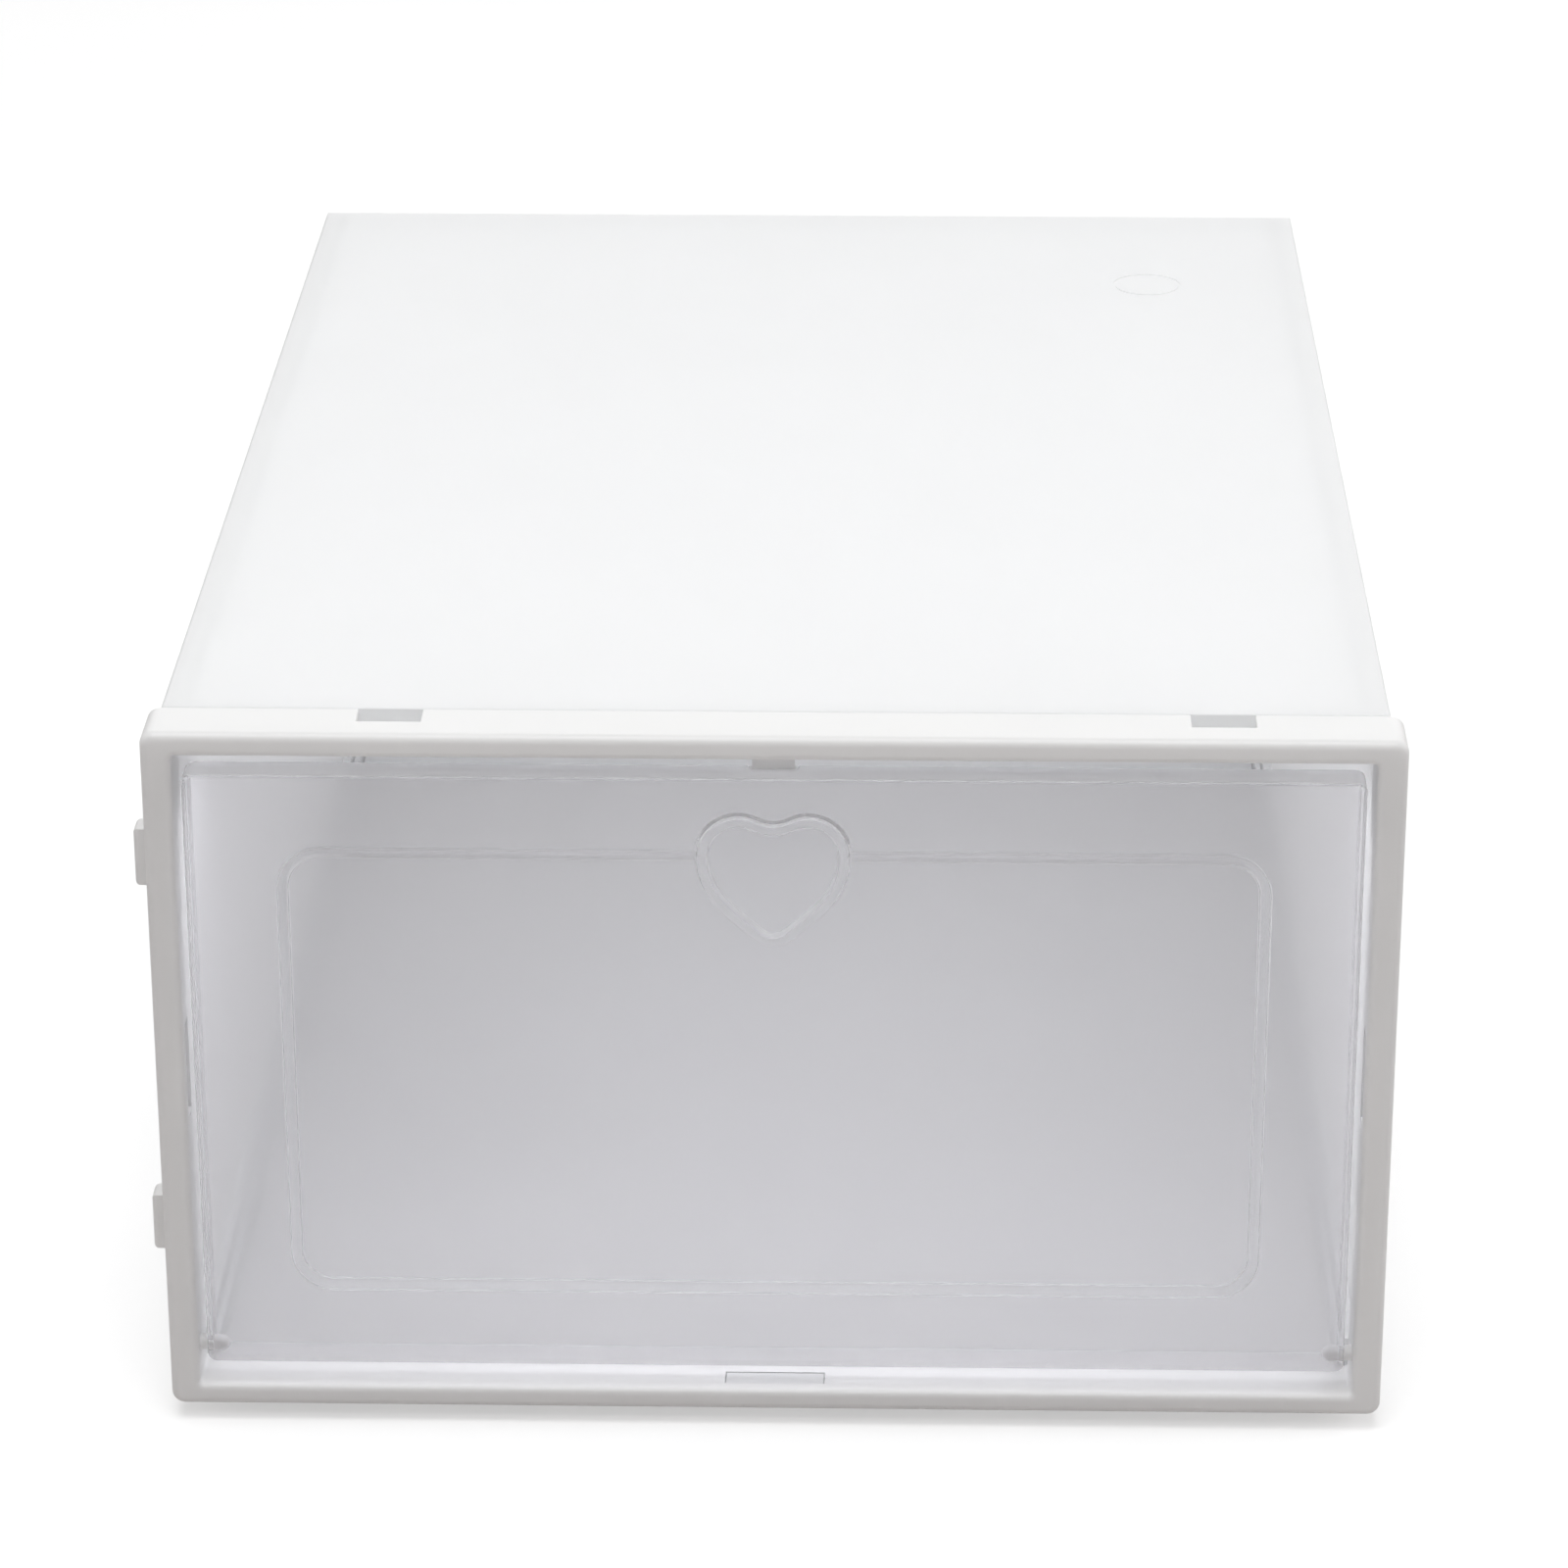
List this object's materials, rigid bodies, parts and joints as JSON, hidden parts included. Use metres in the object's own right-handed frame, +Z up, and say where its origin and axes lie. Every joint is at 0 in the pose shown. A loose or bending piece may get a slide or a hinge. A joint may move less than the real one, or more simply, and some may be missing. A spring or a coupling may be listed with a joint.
{
  "type": "stackable drop-front shoe box",
  "caption": "Knock-down stackable shoe box: white moulded panels, front frame with joining tabs and slots, frosted drop-front door with a heart relief.",
  "frame": {"origin": "centre of the overall footprint, at the tips of the floor tabs", "axes": "+Z up, -Y out of the door, +X to the right seen from the front"},
  "size_m": [0.233, 0.32, 0.1415],
  "materials": {
    "frame_plastic": "satin white moulded polypropylene",
    "panel_plastic": "satin white moulded polypropylene sheet",
    "frosted_plastic": "frosted translucent polypropylene"
  },
  "bodies": {
    "box": {"front_frame": "frame_plastic", "top_panel": "panel_plastic", "bottom_panel": "panel_plastic", "left_side_panel": "panel_plastic", "right_side_panel": "panel_plastic", "back_panel": "panel_plastic"},
    "door": {"door": "frosted_plastic"}
  },
  "joints": [
    {"name": "door_hinge", "type": "hinge", "parent": "box", "child": "door", "pos_m": [0.0015, -0.1557, 0.0145], "axis": [1, 0, 0], "range_deg": [0, 95]}
  ]
}
